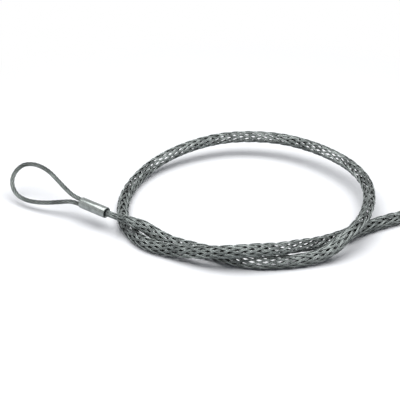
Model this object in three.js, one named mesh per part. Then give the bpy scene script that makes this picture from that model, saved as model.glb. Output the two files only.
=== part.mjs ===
import * as THREE from 'three';

// A cable pulling grip: a wire rope eye, a pressed ferrule and a long woven wire sleeve that slips over a cable.
// It lies on the ground in one loop, as it comes off the hook. Lengths are in millimetres and +Z is up.

// Woven sleeve
const strandCount = 8; // each strand goes down the sleeve, turns back at the mouth and returns
const weaveRadius = 5.1; // from the sleeve's centreline to the middle of the weave
const crossingsOver = 2; // a strand goes over this many strands, then under as many
const weaveTurn = 13; // degrees, the first crossing's place round the sleeve
const openingLength = 14.2; // a diamond opening and the crossing after it, along the sleeve
const stripWidth = 2.0; // a strand is a pair of wires side by side
const stripHeight = 0.6;
const strandGap = 0.4; // between strands where they cross
const taperLength = 60; // over which the sleeve grows from the neck to its full size

// Neck, where the strands run side by side into the ferrule
const neckRadius = 2.6; // to the middle of the strands
const neckStripHeight = 1.5;
const neckGap = 0.16; // between neighbouring strands
const neckLength = 8; // outside the ferrule

// Wire rope eye
const ropeDiameter = 4.8;
const ropeStrands = 6;
const ropeLay = 32; // one turn of the rope's strands
const grooveDepth = 0.45;
const legGap = 0.2; // between the two legs inside the ferrule
const eyeTilt = 40; // degrees, the eye's plane above the ground

// Ferrule
const ferruleLength = 34;
const ferruleWall = 0.9; // round the rope legs
const fitGap = 0.15; // between the ferrule and what it holds
const seatLength = 16; // of the strands inside the ferrule
const ferruleChamfer = 0.8;
const mouthDepth = 1.2; // the countersink round the strands
const ferruleSides = 40;
const frameStep = 2; // between the frames that a swept piece follows
const ferruleHeading = -35.8; // degrees from +X, seen from above
const ferruleSlope = -1.7; // degrees, falling towards the sleeve

// Where the ferrule lets go of the sleeve, and the ground plan of the route from there to the mouth.
// A point is x, y, side and lift. Side moves it off y by half the distance between two runs that touch:
// 1 is the far side, -1 the near side. Lift is 0 on the ground and 1 on top of another run.
const ferruleExit = [-97, -60.5, 0, 0.92];
const route = [
  [-80, -72.3, 0, 0.93],
  [-69, -79, 0, 0.93],
  [-58, -93, 1.32, 0.77],
  [-45.5, -101, 1.64, 0.38],
  [-30.5, -108, 1.5, 0.08],
  [-10, -116.5, 1.4, 0],
  [13, -125, 1.1, 0],
  [37, -132.5, 0.3, 0],
  [57, -134, -0.12, 0],
  [77, -132, -0.32, 0],
  [98, -125, -0.88, 0],
  [118, -115.5, -1.45, 0.12],
  [132, -120, 0, 0.44],
  [143.5, -110.5, 0, 0.82],
  [154, -99, 0, 1.03],
  [165.5, -80, 0, 1.06],
  [174, -57.5, 0, 1.04],
  [180, -28.5, 0, 1.02],
  [179, 4.5, 0, 1.06],
  [168.5, 33.5, 0, 1.15],
  [152, 57, 0, 1.21],
  [127, 81, 0, 1.23],
  [95, 99.5, 0, 1.23],
  [61, 107.5, 0, 1.17],
  [29, 106.5, 0, 1.08],
  [-1.5, 96.5, 0, 0.92],
  [-30.5, 80, 0, 0.65],
  [-54, 58.5, 0, 0.33],
  [-70.5, 32, 0, 0.07],
  [-79.5, 3.5, 0, 0],
  [-82.5, -25.5, 0, 0],
  [-80.5, -52, 0, 0],
  [-71.5, -77, 0, 0],
  [-58, -88, -1.2, 0],
  [-45, -96, -1.45, 0],
  [-30, -104, -1.4, 0.08],
  [-10, -114.5, -1.35, 0.38],
  [13, -125, -1.1, 0.75],
  [37, -134, -0.3, 1],
  [57, -135.5, 0.12, 1.04],
  [77, -134, 0.36, 0.97],
  [98, -127, 0.9, 0.74],
  [118, -117.5, 1.45, 0.36],
  [137, -92.5, 0, 0.08],
  [155, -79.5, 0, 0],
  [173, -68, 0, 0],
  [189, -58.5, 0, 0],
  [205, -50.5, 0, 0],
  [224, -43, 0, 0],
  [244, -38, 0, 0],
  [264, -36, 0, 0],
  [284, -36, 0, 0],
  [303.5, -36, 0, 0],
];

// The eye's outline from one leg round to the other: distance from the ferrule, distance off its axis
const eyeOutline = [
  [14.5, 3.5],
  [30, 8],
  [45.5, 13.5],
  [58.5, 17.5],
  [70.5, 19],
  [82, 18],
  [92.5, 13],
  [97, 4.5],
  [96, -5.5],
  [89.5, -14],
  [78, -20],
  [64, -21],
  [50.5, -18.5],
  [38.5, -14.5],
  [25.5, -9],
  [13.5, -4],
];

// Sizes that follow from the ones above
const column = Math.PI / strandCount; // angle between one crossing and the next round the sleeve
const rowLength = openingLength / 2;
const layAngle = Math.atan((column * weaveRadius) / rowLength);
const halfSpan = stripWidth / 2 / Math.cos(layAngle) / (column * weaveRadius); // in columns
const weaveSwing = (stripHeight + strandGap) / (1 - halfSpan / 2); // in and out of the weave's middle
const neckHalfSpan = 0.5 - neckGap / 2 / (column * neckRadius);
const sleeveRadius = weaveRadius + weaveSwing + stripHeight / 2;
const runPitch = 2 * sleeveRadius + strandGap; // between the centrelines of two runs that touch
const neckOutside = neckRadius + neckStripHeight / 2;
const ropeRadius = ropeDiameter / 2;
const legOffset = ropeRadius + legGap / 2;
const legBore = legOffset + ropeRadius + fitGap;
const ferruleRadius = legBore + ferruleWall;

function smooth(t) {
  const x = THREE.MathUtils.clamp(t, 0, 1);
  return x * x * (3 - 2 * x);
}

// Closed surface through rings of points, capped at both ends. A side that twists is split along
// whichever of its diagonals stands further out.
function skin(rings) {
  const count = rings[0].length;
  const points = rings.flat();
  const index = [];
  const end = points.length - count;
  for (let a = 0; a < end; a += count) {
    const b = a + count;
    const centre = new THREE.Vector3();
    for (let j = a; j < b + count; j++) centre.addScaledVector(points[j], 1 / (2 * count));
    const reach = (p, q) => points[p].clone().lerp(points[q], 0.5).distanceTo(centre);
    for (let j = 0; j < count; j++) {
      const k = (j + 1) % count;
      if (reach(a + j, b + k) > reach(a + k, b + j)) {
        index.push(a + j, a + k, b + k, a + j, b + k, b + j);
      } else {
        index.push(a + j, a + k, b + j, a + k, b + k, b + j);
      }
    }
  }
  for (let j = 1; j < count - 1; j++) {
    index.push(0, j + 1, j);
    index.push(end, end + j, end + j + 1);
  }
  const position = points.flatMap((p) => [p.x, p.y, p.z]);
  const geometry = new THREE.BufferGeometry();
  geometry.setAttribute('position', new THREE.Float32BufferAttribute(position, 3));
  geometry.setIndex(index);
  geometry.computeVertexNormals();
  return geometry;
}

// Curve with frames that don't twist, read by the distance along it
function guide(points, step) {
  const curve = new THREE.CatmullRomCurve3(points, false, 'centripetal');
  curve.arcLengthDivisions = 40 * points.length;
  const length = curve.getLength();
  const steps = Math.ceil(length / step);
  const frames = curve.computeFrenetFrames(steps, false);
  // The point at a distance along, off the centreline by a radius at an angle
  const at = (distance, angle, radius) => {
    const u = THREE.MathUtils.clamp(distance / length, 0, 1);
    const i = Math.min(Math.floor(u * steps), steps - 1);
    const t = u * steps - i;
    const normal = frames.normals[i].clone().lerp(frames.normals[i + 1], t).normalize();
    const binormal = frames.binormals[i].clone().lerp(frames.binormals[i + 1], t).normalize();
    return curve
      .getPointAt(u)
      .addScaledVector(normal, radius * Math.cos(angle))
      .addScaledVector(binormal, radius * Math.sin(angle));
  };
  return { length, at };
}

function lay([x, y, side, lift]) {
  return new THREE.Vector3(x, y + (side * runPitch) / 2, sleeveRadius + lift * runPitch);
}

// The ferrule's own frame: origin where the sleeve leaves it, axis back towards the eye
const heading = THREE.MathUtils.degToRad(ferruleHeading);
const slope = THREE.MathUtils.degToRad(ferruleSlope);
const exit = lay(ferruleExit);
const axis = new THREE.Vector3(
  -Math.cos(slope) * Math.cos(heading),
  -Math.cos(slope) * Math.sin(heading),
  -Math.sin(slope),
);
const level = new THREE.Vector3(-Math.sin(heading), Math.cos(heading), 0);
const upright = new THREE.Vector3().crossVectors(level, axis);
const tilt = THREE.MathUtils.degToRad(eyeTilt);
const across = level.clone().multiplyScalar(Math.cos(tilt)).addScaledVector(upright, Math.sin(tilt));

// Sleeve centreline, from the strands' inner end in the ferrule to the mouth
const sleeve = guide(
  [
    exit.clone().addScaledVector(axis, seatLength),
    exit.clone().addScaledVector(axis, seatLength / 2),
    exit,
    exit.clone().addScaledVector(axis, -neckLength),
    ...route.map(lay),
  ],
  frameStep,
);
const weaveStart = seatLength + neckLength;
const weaveLength = sleeve.length - weaveStart - halfSpan * rowLength; // to the last crossing
const rowCount = Math.round(weaveLength / rowLength + 0.5); // the first row is half a row in
const rowStep = weaveLength / (rowCount - 0.5);

// The angle round the sleeve of a place in columns
function angleOf(m) {
  return m * column + THREE.MathUtils.degToRad(weaveTurn);
}

// In and out of the weave: right out (1) at column 0.5, right in (-1) at 2.5, and so on round
function wave(m) {
  const x = THREE.MathUtils.euclideanModulo(m - 0.5, 2 * crossingsOver);
  return (2 * Math.abs(x - crossingsOver)) / crossingsOver - 1;
}

// A strand's section at q rows before (-) or after (+) its turn, which lies at the column named turn.
// It is cut along the strand that crosses there, so that its two outer corners swing out and in together.
function weaveSection(turn, q) {
  const row = rowCount - Math.abs(q);
  const m = turn + q;
  const growth = smooth((row * rowStep) / taperLength);
  const span = THREE.MathUtils.lerp(neckHalfSpan, halfSpan, growth);
  const swing = (q < 0 ? 1 : -1) * weaveSwing * wave(m);
  const middle = THREE.MathUtils.lerp(neckRadius + weaveSwing, weaveRadius, growth) + swing;
  const along = weaveStart + (row - 0.5) * rowStep;
  const turned = q === 0; // the turn is cut across its tip
  const shift = turned ? 0 : (Math.sign(q) * span) / 2;
  const reach = (turned ? span : span / 2) * rowStep;
  return [
    sleeve.at(along + reach, angleOf(m + shift), middle + stripHeight / 2),
    sleeve.at(along - reach, angleOf(m - shift), middle + stripHeight / 2),
    sleeve.at(along, angleOf(m), middle - stripHeight / 2),
  ];
}

// A strand's section in the neck, where it is one wedge of a round bundle
function neckSection(turn, q, along) {
  const m = turn + q;
  const span = Math.sign(q) * neckHalfSpan;
  return [
    sleeve.at(along, angleOf(m + span), neckOutside),
    sleeve.at(along, angleOf(m - span), neckOutside),
    sleeve.at(along, angleOf(m), neckOutside - neckStripHeight),
  ];
}

// One strand: out of the ferrule, down the sleeve to its turn at the mouth, and back
function strandGeometry(turn) {
  const end = rowCount - 0.5;
  const neck = [0, seatLength, weaveStart - neckLength / 2];
  const sections = neck.map((along) => neckSection(turn, -end, along));
  for (let q = -end; q <= end; q++) {
    const atSwing = (turn + q - 0.5) % crossingsOver === 0; // right out or right in
    if (atSwing || Math.abs(q) === end) sections.push(weaveSection(turn, q));
    if (q === -0.5) sections.push(weaveSection(turn, 0));
  }
  sections.push(...neck.reverse().map((along) => neckSection(turn, end, along)));
  return skin(sections);
}

// The eye: a laid rope bent into a teardrop, with both ends side by side in the ferrule
function ropeGeometry() {
  const legLength = ferruleLength - seatLength - fitGap;
  const shoulder = exit.clone().addScaledVector(axis, ferruleLength);
  const place = (out, off) => shoulder.clone().addScaledVector(axis, out).addScaledVector(across, off);
  const leg = [-legLength, -legLength / 2, 0];
  const rope = guide(
    [
      ...leg.map((out) => place(out, legOffset)),
      ...eyeOutline.map(([out, off]) => place(out, off)),
      ...leg.reverse().map((out) => place(out, -legOffset)),
    ],
    frameStep,
  );
  const corners = 2 * ropeStrands; // a crest and a groove for each strand
  const stepCount = Math.round((rope.length / ropeLay) * corners);
  const rings = [];
  for (let i = 0; i <= stepCount; i++) {
    const ring = [];
    for (let j = 0; j < corners; j++) {
      const radius = j % 2 ? ropeRadius : ropeRadius - grooveDepth;
      ring.push(rope.at((i / stepCount) * rope.length, ((i + j) / corners) * 2 * Math.PI, radius));
    }
    rings.push(ring);
  }
  return skin(rings);
}

// The ferrule: a turned tube, bored wide for the rope's legs and close round the strands
function ferruleGeometry() {
  const strandBore = neckOutside + fitGap;
  const profile = [
    [legBore, 0],
    [ferruleRadius - ferruleChamfer, 0],
    [ferruleRadius, ferruleChamfer],
    [ferruleRadius, ferruleLength - ferruleChamfer],
    [ferruleRadius - ferruleChamfer, ferruleLength],
    [strandBore + mouthDepth, ferruleLength],
    [strandBore, ferruleLength - mouthDepth],
    [strandBore, ferruleLength - seatLength],
    [legBore, ferruleLength - seatLength],
    [legBore, 0],
  ];
  return new THREE.LatheGeometry(profile.map(([r, y]) => new THREE.Vector2(r, y)), ferruleSides);
}

const wireSteel = { color: 0x8d9490, metalness: 0.85, roughness: 0.45 };
const ropeSteel = { color: 0x848b86, metalness: 0.85, roughness: 0.5 };
const ferruleSteel = { color: 0xb9bdbb, metalness: 1, roughness: 0.22 };

const grip = new THREE.Group();

function piece(name, geometry, finish) {
  const mesh = new THREE.Mesh(geometry, new THREE.MeshStandardMaterial(finish));
  mesh.name = name;
  grip.add(mesh);
  return mesh;
}

piece('eye_rope', ropeGeometry(), ropeSteel);

const ferrule = piece('ferrule', ferruleGeometry(), ferruleSteel);
ferrule.position.copy(exit).addScaledVector(axis, ferruleLength);
ferrule.quaternion.setFromUnitVectors(new THREE.Vector3(0, 1, 0), axis.clone().negate());

for (let i = 0; i < strandCount; i++) {
  piece(`strand_${i + 1}`, strandGeometry(rowCount + 2 * i), wireSteel);
}

// The origin is on the ground, under the middle of the whole grip
const box = new THREE.Box3().setFromObject(grip, true);
const middle = box.getCenter(new THREE.Vector3());
grip.position.set(-middle.x, -middle.y, -box.min.z);

const part = new THREE.Group();
part.add(grip);

export default part;
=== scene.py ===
import math

import bpy
import numpy as np
from mathutils import Matrix, Vector


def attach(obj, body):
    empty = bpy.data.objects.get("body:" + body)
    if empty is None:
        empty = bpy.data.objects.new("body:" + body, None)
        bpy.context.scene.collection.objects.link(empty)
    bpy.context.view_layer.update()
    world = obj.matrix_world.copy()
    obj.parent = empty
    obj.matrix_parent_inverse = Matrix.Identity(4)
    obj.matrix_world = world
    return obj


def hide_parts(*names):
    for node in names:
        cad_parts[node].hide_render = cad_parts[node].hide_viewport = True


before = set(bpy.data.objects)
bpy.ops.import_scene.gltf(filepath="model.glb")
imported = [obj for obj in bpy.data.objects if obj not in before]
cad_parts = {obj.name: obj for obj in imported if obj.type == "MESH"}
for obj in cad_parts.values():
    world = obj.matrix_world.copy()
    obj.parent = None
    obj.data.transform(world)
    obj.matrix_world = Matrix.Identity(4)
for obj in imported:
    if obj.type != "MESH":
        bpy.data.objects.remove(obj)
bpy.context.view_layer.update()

# Lengths are in millimetres, apart from those of the stage and the camera, which are in metres
mm = 0.001

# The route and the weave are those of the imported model, laid out again from the same values
grip = {
    "strandCount": 8,
    "weaveRadius": 5.1,
    "weaveTurn": 13,  # degrees, turns the pattern of openings round the sleeve
    "openingLength": 14.2,
    "stripWidth": 2.0,
    "stripHeight": 0.6,
    "strandGap": 0.4,
    "neckLength": 8,
    "ferruleLength": 34,
    "seatLength": 16,  # of the strands in the ferrule
    "heading": -35.8,  # degrees over the ground, the way the sleeve leaves the ferrule
    "slope": -1.7,
    "eyeTilt": 40,  # degrees, of the eye's plane off the level
    "frameStep": 2,
}

# Points of the route: x and y over the ground, then how far the sleeve stands aside, in half
# pitches of two runs that touch, and how high it is lifted, in whole ones
ferruleExit = (-97, -60.5, 0, 0.92)
route = [
    (-80, -72.3, 0, 0.93), (-69, -79, 0, 0.93), (-58, -93, 1.32, 0.77),
    (-45.5, -101, 1.64, 0.38), (-30.5, -108, 1.5, 0.08), (-10, -116.5, 1.4, 0),
    (13, -125, 1.1, 0), (37, -132.5, 0.3, 0), (57, -134, -0.12, 0),
    (77, -132, -0.32, 0), (98, -125, -0.88, 0), (118, -115.5, -1.45, 0.12),
    (132, -120, 0, 0.44), (143.5, -110.5, 0, 0.82), (154, -99, 0, 1.03),
    (165.5, -80, 0, 1.06), (174, -57.5, 0, 1.04), (180, -28.5, 0, 1.02),
    (179, 4.5, 0, 1.06), (168.5, 33.5, 0, 1.15), (152, 57, 0, 1.21),
    (127, 81, 0, 1.23), (95, 99.5, 0, 1.23), (61, 107.5, 0, 1.17),
    (29, 106.5, 0, 1.08), (-1.5, 96.5, 0, 0.92), (-30.5, 80, 0, 0.65),
    (-54, 58.5, 0, 0.33), (-70.5, 32, 0, 0.07), (-79.5, 3.5, 0, 0),
    (-82.5, -25.5, 0, 0), (-80.5, -52, 0, 0), (-71.5, -77, 0, 0),
    (-58, -88, -1.2, 0), (-45, -96, -1.45, 0), (-30, -104, -1.4, 0.08),
    (-10, -114.5, -1.35, 0.38), (13, -125, -1.1, 0.75), (37, -134, -0.3, 1),
    (57, -135.5, 0.12, 1.04), (77, -134, 0.36, 0.97), (98, -127, 0.9, 0.74),
    (118, -117.5, 1.45, 0.36), (137, -92.5, 0, 0.08), (155, -79.5, 0, 0),
    (173, -68, 0, 0), (189, -58.5, 0, 0), (205, -50.5, 0, 0),
    (224, -43, 0, 0), (244, -38, 0, 0), (264, -36, 0, 0),
    (284, -36, 0, 0), (303.5, -36, 0, 0),
]

# From the route's own origin to the row's origin, on the ground under the middle of the grip
toRow = np.array((-48.102, 13.969, -0.089))

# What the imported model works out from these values: half the angle between two strands, half
# the length of an opening, and how far the strands and the runs stand off
column = math.pi / grip["strandCount"]
rowLength = grip["openingLength"] / 2
layAngle = math.atan(column * grip["weaveRadius"] / rowLength)
halfSpan = grip["stripWidth"] / 2 / math.cos(layAngle) / (column * grip["weaveRadius"])
weaveSwing = (grip["stripHeight"] + grip["strandGap"]) / (1 - halfSpan / 2)
sleeveRadius = grip["weaveRadius"] + weaveSwing + grip["stripHeight"] / 2
runPitch = 2 * sleeveRadius + grip["strandGap"]


def smooth(t):
    x = np.clip(t, 0, 1)
    return x * x * (3 - 2 * x)


def unit(v):
    v = np.asarray(v, dtype=float)
    return v / np.linalg.norm(v, axis=-1, keepdims=True)


def lay(x, y, side, lift):
    return np.array((x, y + side * runPitch / 2, sleeveRadius + lift * runPitch))


# The rows of a table at given distances, where the table's own distances are known
def readOff(distance, known, table):
    return np.stack([np.interp(distance, known, values) for values in table.T], axis=-1)


# A centripetal spline through points, with frames along it that don't twist
class Guide:
    samples = 60  # in each span

    def __init__(self, points, step):
        p = np.array(points, dtype=float)
        p = np.vstack([2 * p[0] - p[1], p, 2 * p[-1] - p[-2]])
        t = np.linspace(0, 1, self.samples, endpoint=False)[:, None]
        fine = []
        for a, b, c, d in zip(p, p[1:], p[2:], p[3:]):
            da, db, dc = (np.linalg.norm(v) ** 0.5 for v in (b - a, c - b, d - c))
            t1 = ((b - a) / da - (c - a) / (da + db) + (c - b) / db) * db
            t2 = ((c - b) / db - (d - b) / (db + dc) + (d - c) / dc) * db
            square, cube = 3 * (c - b) - 2 * t1 - t2, 2 * (b - c) + t1 + t2
            fine.append(b + t1 * t + square * t ** 2 + cube * t ** 3)
        fine.append(p[-2:-1])
        self.fine = np.vstack(fine)
        spans = np.linalg.norm(np.diff(self.fine, axis=0), axis=1)
        self.far = np.concatenate([[0], np.cumsum(spans)])
        self.length = self.far[-1]
        self.stations = np.linspace(0, self.length, math.ceil(self.length / step) + 1)
        tangents = unit(self.position(self.stations + 0.01) - self.position(self.stations - 0.01))
        tangents[0], tangents[-1] = unit(p[2] - p[1]), unit(p[-2] - p[-3])
        # The first frame is square to the axis that the line follows least
        least = np.eye(3)[np.argmin(np.abs(tangents[0]))]
        normal = np.cross(tangents[0], unit(np.cross(tangents[0], least)))
        normals = [normal]
        for a, b in zip(tangents, tangents[1:]):
            turn = np.cross(a, b)
            if np.linalg.norm(turn) > 1e-9:
                angle = math.acos(max(-1, min(1, float(a @ b))))
                normal = np.array(Matrix.Rotation(angle, 3, Vector(turn)) @ Vector(normal))
            normals.append(normal)
        self.normals = np.array(normals)
        self.binormals = np.cross(tangents, self.normals)

    def position(self, distance):
        return readOff(distance, self.far, self.fine)

    def normal(self, distance):
        return unit(readOff(distance, self.stations, self.normals))

    # The points at distances along, off the line by a radius at an angle
    def at(self, distance, angle, radius):
        binormal = unit(readOff(distance, self.stations, self.binormals))
        c, s = np.cos(angle)[..., None], np.sin(angle)[..., None]
        off = c * self.normal(distance) + s * binormal
        return self.position(distance) + np.asarray(radius)[..., None] * off


# Axis points from the sleeve through the ferrule to the eye, and across lies in the eye's plane
heading, slope, tilt = (math.radians(grip[k]) for k in ("heading", "slope", "eyeTilt"))
flat = math.cos(slope)
axis = -np.array((flat * math.cos(heading), flat * math.sin(heading), math.sin(slope)))
level = np.array((-math.sin(heading), math.cos(heading), 0))
upright = np.cross(level, axis)
across = level * math.cos(tilt) + upright * math.sin(tilt)

leave = lay(*ferruleExit)
seat, neck = grip["seatLength"], grip["neckLength"]
straight = [leave + axis * out for out in (seat, seat / 2, 0, -neck)]
sleeve = Guide(straight + [lay(*point) for point in route], grip["frameStep"])
weaveStart = seat + neck
weaveLength = sleeve.length - weaveStart - halfSpan * rowLength
rowCount = round(weaveLength / rowLength + 0.5)
lastRow = rowCount - 0.5
rowStep = weaveLength / lastRow
print("route laid out,", round(sleeve.length - seat), "mm of sleeve,", rowCount, "rows")


# One object from arrays of points and faces
def meshObject(name, points, faces, *materials):
    mesh = bpy.data.meshes.new(name)
    mesh.from_pydata(((points + toRow) * mm).tolist(), [], faces)
    for material in materials:
        mesh.materials.append(material)
    mesh.polygons.foreach_set("use_smooth", [True] * len(mesh.polygons))
    mesh.update()
    made = bpy.data.objects.new(name, mesh)
    bpy.context.scene.collection.objects.link(made)
    return made


# Rings of points joined into a closed tube with flat ends, its faces counted from a first point
def ringFaces(rows, count, first):
    faces = []
    for i in range(rows - 1):
        a = first + i * count
        for j in range(count):
            k = (j + 1) % count
            faces.append((a + j, a + k, a + count + k, a + count + j))
    faces.append(tuple(first + j for j in reversed(range(count))))
    faces.append(tuple(first + (rows - 1) * count + j for j in range(count)))
    return faces


# A section swept along a line of points, as rings. Up is the way that its second axis leans.
def sweep(line, up, section):
    along = unit(np.gradient(line, axis=0))
    side = unit(np.cross(along, up))[:, None]
    over = np.cross(side, along[:, None])
    return line[:, None] + section[..., :1] * side + section[..., 1:] * over


def circle(radius, sides):
    turn = np.linspace(0, 2 * math.pi, sides, endpoint=False)
    return np.stack([radius * np.cos(turn), radius * np.sin(turn)], axis=-1)[None]


def linear(code):
    value = [int(code[i:i + 2], 16) / 255 for i in (1, 3, 5)]
    return [c / 12.92 if c <= 0.04045 else ((c + 0.055) / 1.055) ** 2.4 for c in value] + [1]


def addNode(tree, kind, settings=None, links=None):
    node = tree.nodes.new("ShaderNode" + kind)
    for key, value in (settings or {}).items():
        if key in node.inputs:
            node.inputs[key].default_value = value
        else:
            setattr(node, key, value)
    for key, source in (links or {}).items():
        tree.links.new(source, node.inputs[key])
    return node


def newMaterial(name):
    material = bpy.data.materials.new(name)
    material.use_nodes = True
    tree = material.node_tree
    return material, tree, tree.nodes["Principled BSDF"]


# A metal in patches from dull to bright, with a grain in its roughness and in its surface
def metalSurface(name, finish, dull, bright, roughness):
    material, tree, shader = newMaterial(name)
    place = addNode(tree, "TexCoord").outputs["Object"]
    patches, grain = (
        addNode(tree, "TexNoise", {"Scale": 1 / (size * mm), "Detail": detail, "Roughness": rough},
                {"Vector": place}).outputs["Fac"]
        for size, detail, rough in (finish["patches"], finish["grain"])
    )
    tone = addNode(tree, "ValToRGB", None, {"Fac": patches})
    ends = zip(tone.color_ramp.elements, finish["contrast"], (dull, bright))
    for element, position, colour in ends:
        element.position = position
        element.color = linear(colour)
    # The noise lies mostly between 0.3 and 0.7
    low, high = roughness
    sheen = addNode(tree, "MapRange",
                    {"From Min": 0.3, "From Max": 0.7, "To Min": low, "To Max": high},
                    {"Value": grain})
    bump = addNode(tree, "Bump",
                   {"Strength": finish["bump"], "Distance": finish["bumpDepth"] * mm},
                   {"Height": grain})
    tree.links.new(tone.outputs["Color"], shader.inputs["Base Color"])
    tree.links.new(sheen.outputs["Result"], shader.inputs["Roughness"])
    tree.links.new(bump.outputs["Normal"], shader.inputs["Normal"])
    shader.inputs["Metallic"].default_value = finish["metallic"]
    return material


# Drawn steel wire, hot-dip galvanised: satin grey zinc with duller patches and draw marks.
# Real draw marks are well under 0.1 mm apart and too fine to show, so they are drawn coarser.
# Patches and grain: size in mm, detail, roughness of the noise.
galvanised = {
    "patches": (11.1, 5, 0.6), "grain": (0.417, 3, 0.6), "contrast": (0.36, 0.62),
    "bump": 0.25, "bumpDepth": 0.04, "metallic": 0.8,
}
sleeveSteel = metalSurface("galvanised sleeve wire", galvanised, "#5e6362", "#8a908e", (0.19, 0.35))
ropeSteel = metalSurface("galvanised rope wire", galvanised, "#585d5b", "#858b89", (0.19, 0.35))

# The same wire on its inner side, painted dark and matt: painted shade for the inside of the
# sleeve, seen through the openings
innerShadeSteel = metalSurface("sleeve wire with painted inner shade", galvanised, "#1b1e1d", "#2f3331", (0.44, 0.6))

# Painted shade between the strands of the rope and on its core: nearly black and matt
grooveShadeSteel = metalSurface("rope wire with painted groove shade", galvanised, "#1a1c1b", "#2e312f", (0.54, 0.7))

# Steel tube, turned smooth and bright zinc-plated: a soft gloss over a faint grain, which is
# drawn coarser than the real one of about 0.1 mm, so that it shows
plated = {
    "patches": (6.25, 4, 0.55), "grain": (1.11, 3, 0.7), "contrast": (0.35, 0.6),
    "bump": 0.2, "bumpDepth": 0.05, "metallic": 1.0,
}
ferruleSteel = metalSurface("zinc-plated turned steel", plated, "#7b807e", "#959a98", (0.17, 0.3))
print("materials made")

# The sleeve: each strand is a pair of round wires side by side, over two strands and under two
weave = {
    "wireRadius": 0.5,
    "spacing": 1.02,  # between the wires of a pair
    "neckShare": 0.86,  # of the spacing, in the neck
    "middle": 5.65,  # from the sleeve's own line to the middle of the weave
    "neck": 2.4,  # the same in the neck
    "swing": 0.58,  # over and under
    "squareness": 1.8,  # of the wave over and under
    "swell": 48,  # from the neck to the full width
    "settle": 14,  # from the neck to the full wave
    "unstack": 22,  # from the neck to where the wires of a pair lie side by side
    "turnRound": 0.35,  # rows, of the turn at the mouth
    "turnReach": 0.65,  # rows that the turn reaches outward
    "changeOver": 0.5,  # rows on each side of the mouth where the strand changes hands
    "step": 0.22,  # rows
    "neckStep": 2.0,
    "sides": 8,
}


# A strand goes out from the ferrule to the mouth and back. Its rows are counted from the mouth.
def strandWires(turn):
    w = weave
    row = np.arange(-lastRow, lastRow, w["step"])
    fromMouth = np.sqrt(row ** 2 + w["turnRound"] ** 2) - w["turnReach"] * np.exp(-row ** 2)
    neckRun = np.arange(0, weaveStart, w["neckStep"])
    along = np.concatenate([neckRun, weaveStart + (lastRow - fromMouth) * rowStep, neckRun[::-1]])
    held = np.full(len(neckRun), lastRow)
    row = np.concatenate([-held, row, held])
    m = turn + row
    growth = smooth((along - weaveStart) / w["swell"])
    inWeave = smooth((along - weaveStart) / w["settle"])
    handed = -np.clip(row / w["changeOver"], -1, 1)
    beat = np.tanh(w["squareness"] * np.cos(math.pi / 2 * (m - 0.5))) / math.tanh(w["squareness"])
    radius = w["neck"] + (w["middle"] - w["neck"]) * growth
    line = sleeve.at(along, m * column + math.radians(grip["weaveTurn"]),
                     radius + w["swing"] * handed * beat * inWeave)
    outward = unit(line - sleeve.position(along))
    side = unit(np.cross(outward, unit(np.gradient(line, axis=0))))
    # In the neck one wire of the pair rides on the other
    stacked = (math.pi / 2) * (1 - smooth((along - weaveStart) / w["unstack"]))
    apart = side * np.cos(stacked)[:, None] + outward * np.sin(stacked)[:, None]
    half = w["spacing"] / 2 * (w["neckShare"] + (1 - w["neckShare"]) * growth)[:, None]
    section = circle(w["wireRadius"], w["sides"])
    return [sweep(line + sign * apart * half, outward, section) for sign in (-1, 1)]


for i in range(grip["strandCount"]):
    points, faces, inner = [], [], []
    # The second half of each ring faces into the sleeve and takes the painted shade
    half = weave["sides"] // 2
    for rings in strandWires(rowCount + 2 * i):
        faces += ringFaces(len(rings), weave["sides"], len(points) * rings[..., 0].size)
        points.append(rings.reshape(-1, 3))
        inner += ([0] * half + [1] * half) * (len(rings) - 1) + [0, 0]
    strand = meshObject(f"wire_pair_{i + 1}", np.vstack(points), faces, sleeveSteel, innerShadeSteel)
    strand.data.polygons.foreach_set("material_index", inner)
    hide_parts(f"strand_{i + 1}")
    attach(strand, "root")
print("sleeve woven")

# The eye: a rope of six strands round a core, each strand twisted from wires the other way
rope = {
    "diameter": 4.8,
    "strands": 6,
    "lay": 32,
    "strandRadius": 0.67,  # thinner than real, round a thicker core, for the valleys to show
    "coreRadius": 1.3,
    "coreSides": 10,
    "wires": 8,  # that show round a strand
    "wireLay": 15,
    "wireValley": 0.88,  # of the strand's radius, between two wires
    "shadeWithin": 1.95,  # of the rope's middle, within which faces take the painted shade
    "legGap": 0.2,
    "fitGap": 0.15,
    "step": 0.9,
}

# Points of the eye's middle line: out from the ferrule and across
eyeOutline = [
    (14.5, 3.5), (30, 8), (45.5, 13.5), (58.5, 17.5), (70.5, 19), (82, 18), (92.5, 13), (97, 4.5),
    (96, -5.5), (89.5, -14), (78, -20), (64, -21), (50.5, -18.5), (38.5, -14.5), (25.5, -9),
    (13.5, -4),
]


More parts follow.
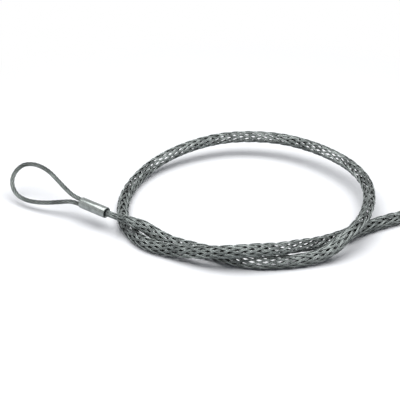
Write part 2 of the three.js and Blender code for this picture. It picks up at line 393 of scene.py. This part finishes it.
def ropeObject():
    legLength = grip["ferruleLength"] - seat - rope["fitGap"]
    offset = rope["diameter"] / 2 + rope["legGap"] / 2
    shoulder = leave + axis * grip["ferruleLength"]
    outline = [(-legLength, offset), (-legLength / 2, offset), (0, offset)] + eyeOutline
    outline += [(0, -offset), (-legLength / 2, -offset), (-legLength, -offset)]
    guide = Guide([shoulder + axis * out + across * off for out, off in outline], grip["frameStep"])
    # The lay is fitted to a whole number of half strands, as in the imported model
    halves = round(guide.length / rope["lay"] * 2 * rope["strands"])
    realLay = guide.length / halves * 2 * rope["strands"]
    s = np.linspace(0, guide.length, round(guide.length / rope["step"]))
    middle = guide.position(s)
    sides = 4 * rope["wires"]
    lobes = np.linspace(0, 2 * math.pi, sides, endpoint=False)
    # Wires show as half-round ridges on the strand
    valley = rope["wireValley"]
    ridges = valley + (1 - valley) * np.abs(np.cos(rope["wires"] / 2 * lobes))
    radius = (rope["strandRadius"] * ridges)[None]
    turn = lobes[None] + (2 * math.pi * s / rope["wireLay"])[:, None]
    section = np.stack([radius * np.cos(turn), radius * np.sin(turn)], axis=-1)
    points, faces, grooveShaded = [], [], []
    for k in range(rope["strands"]):
        angle = 2 * math.pi * (s / realLay + k / rope["strands"])
        line = guide.at(s, angle, rope["diameter"] / 2 - rope["strandRadius"])
        rings = sweep(line, unit(line - middle), section)
        faces += ringFaces(len(rings), sides, len(points) * len(s) * sides)
        points.append(rings.reshape(-1, 3))
        # A face takes the painted shade where its middle lies deep between the strands
        reach = np.linalg.norm(rings - middle[:, None], axis=2)
        reach = (reach + np.roll(reach, -1, axis=1)) / 2
        reach = (reach[1:] + reach[:-1]) / 2
        grooveShaded += (reach < rope["shadeWithin"]).ravel().astype(int).tolist() + [0, 0]
    core = sweep(middle, guide.normal(s), circle(rope["coreRadius"], rope["coreSides"]))
    faces += ringFaces(len(core), rope["coreSides"], len(points) * len(s) * sides)
    points.append(core.reshape(-1, 3))
    # The core takes the painted shade all over
    grooveShaded += [1] * (len(faces) - len(grooveShaded))
    made = meshObject("rope_eye", np.vstack(points), faces, ropeSteel, grooveShadeSteel)
    made.data.polygons.foreach_set("material_index", grooveShaded)
    print("rope eye laid,", round(guide.length), "mm of rope")
    return made


eye = ropeObject()
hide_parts("eye_rope")
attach(eye, "root")

# The ferrule: a smooth turned tube, its edges rounded, countersunk where the strands come out
ferrule = {
    "radius": 5.95,
    "edge": 0.8,
    "edgeSteps": 4,
    "legBore": 5.05,
    "lipWide": 0.2,  # more than the leg bore, at its mouth
    "lipTop": 0.08,
    "lipDeep": 0.35,
    "strandBore": 3.5,
    "mouth": 1.2,  # depth and width of the countersink
    "throatWide": 0.25,  # more than the strand bore, just below it
    "throatDeep": 0.3,
    "sides": 96,
}


def ferruleObject():
    f = ferrule
    long = grip["ferruleLength"]
    inner = long - seat
    arc = np.radians(np.linspace(0, 90, f["edgeSteps"] + 1))
    rise, fall = f["edge"] * (1 - np.sin(arc)), f["edge"] * (1 - np.cos(arc))
    # Radius, and distance back from the eye's end
    profile = [(f["legBore"], inner), (f["legBore"], f["lipDeep"])]
    profile += [(f["legBore"] + f["lipWide"], f["lipTop"])]
    profile += list(zip(f["radius"] - rise, fall))
    profile += list(zip(f["radius"] - fall, long - rise))
    profile += [(f["strandBore"] + f["mouth"], long)]
    profile += [(f["strandBore"] + f["throatWide"], long - f["mouth"])]
    profile += [(f["strandBore"], long - f["mouth"] - f["throatDeep"]), (f["strandBore"], inner)]
    shoulder = leave + axis * long
    aside = unit(np.cross(axis, (0, 0, 1)))
    over = np.cross(aside, axis)
    count = f["sides"]
    turn = np.linspace(0, 2 * math.pi, count, endpoint=False)[:, None]
    ring = np.cos(turn) * aside + np.sin(turn) * over
    points = np.vstack([shoulder - axis * back + radius * ring for radius, back in profile])
    faces = []
    for i in range(len(profile)):
        a, b = i * count, (i + 1) % len(profile) * count
        for j in range(count):
            k = (j + 1) % count
            faces.append((a + j, b + j, b + k, a + k))
    return meshObject("ferrule_tube", points, faces, ferruleSteel)


tube = ferruleObject()
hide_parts("ferrule")
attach(tube, "root")
print("ferrule turned")


# The rays by which the camera, a gloss or a glass sees the room
def seenRays(tree):
    rays = addNode(tree, "LightPath").outputs
    direct = addNode(tree, "Math", {"operation": "ADD"},
                     {0: rays["Is Camera Ray"], 1: rays["Is Glossy Ray"]})
    shown = addNode(tree, "Math", {"operation": "ADD", "use_clamp": True},
                    {0: direct.outputs[0], 1: rays["Is Transmission Ray"]})
    return shown.outputs[0]


# The stage, in metres: a white floor that fades into a white room, and one wide soft lamp
stage = {
    "floorColour": "#f4f5f7",
    "floorReach": 6,
    "fade": (0.3, 0.5),  # from the middle, past the object's own shadows
    "roomColour": "#dde4f8",
    "roomLight": 0.1,
    "lampPlace": (-0.1, -0.05, 1.4),
    "lampTarget": (-0.1, -0.03, 0),
    "lampSize": (2.3, 1.3),
    "lampPower": 35,
}


# White card: matt, with a faint sheen, and past the fade as white as the room
def floorMaterial(name):
    material, tree, shader = newMaterial(name)
    shader.inputs["Base Color"].default_value = linear(stage["floorColour"])
    shader.inputs["Roughness"].default_value = 0.9
    shader.inputs["Specular IOR Level"].default_value = 0.1
    place = addNode(tree, "TexCoord").outputs["Object"]
    away = addNode(tree, "VectorMath", {"operation": "LENGTH"}, {0: place})
    near, far = stage["fade"]
    fade = addNode(tree, "MapRange",
                   {"interpolation_type": "SMOOTHSTEP", "From Min": near, "From Max": far},
                   {"Value": away.outputs["Value"]})
    share = addNode(tree, "Math", {"operation": "MULTIPLY"},
                    {0: fade.outputs["Result"], 1: seenRays(tree)})
    white = addNode(tree, "Emission", {"Color": linear("#ffffff"), "Strength": 1.0})
    both = addNode(tree, "MixShader", None,
                   {0: share.outputs[0], 1: shader.outputs[0], 2: white.outputs[0]})
    tree.links.new(both.outputs[0], tree.nodes["Material Output"].inputs["Surface"])
    return material


mesh = bpy.data.meshes.new("floor")
r = stage["floorReach"]
mesh.from_pydata([(-r, -r, 0), (r, -r, 0), (r, r, 0), (-r, r, 0)], [], [(0, 1, 2, 3)])
mesh.materials.append(floorMaterial("white card"))
floor = bpy.data.objects.new("floor", mesh)
bpy.context.scene.collection.objects.link(floor)

world = bpy.data.worlds.new("room")
bpy.context.scene.world = world
world.use_nodes = True
tree = world.node_tree
tree.nodes.clear()
room = {"Color": linear(stage["roomColour"]), "Strength": stage["roomLight"]}
lit = addNode(tree, "Background", room)
seen = addNode(tree, "Background", {"Color": linear("#ffffff"), "Strength": 1.0})
mix = addNode(tree, "MixShader", None, {0: seenRays(tree), 1: lit.outputs[0], 2: seen.outputs[0]})
addNode(tree, "OutputWorld", None, {0: mix.outputs[0]})


# A lamp or a camera, placed and turned to look along a direction
def placeObject(name, data, place, direction):
    made = bpy.data.objects.new(name, data)
    made.location = place
    made.rotation_mode = "QUATERNION"
    made.rotation_quaternion = direction.to_track_quat("-Z", "Y")
    bpy.context.scene.collection.objects.link(made)
    return made


light = bpy.data.lights.new("overhead box", "AREA")
light.shape = "RECTANGLE"
light.size, light.size_y = stage["lampSize"]
light.energy = stage["lampPower"]
aim = Vector(stage["lampTarget"]) - Vector(stage["lampPlace"])
placeObject("overhead box", light, stage["lampPlace"], aim)

# The camera looks at the route's own origin. Its focal length and frame are in pixels.
view = {"elevation": 30, "distance": 1.257, "focal": 1150, "frame": 400, "sensor": 36}

camera = bpy.data.cameras.new("camera")
camera.sensor_width = view["sensor"]
camera.lens = view["focal"] / view["frame"] * view["sensor"]
camera.clip_start, camera.clip_end = 0.01, 50
elevation = math.radians(view["elevation"])
back = Vector((0, -math.cos(elevation), math.sin(elevation)))
place = Vector(toRow * mm) + back * view["distance"]
bpy.context.scene.camera = placeObject("camera", camera, place, -back)
bpy.context.scene.view_settings.view_transform = "Standard"
print("stage, lamp and camera set")
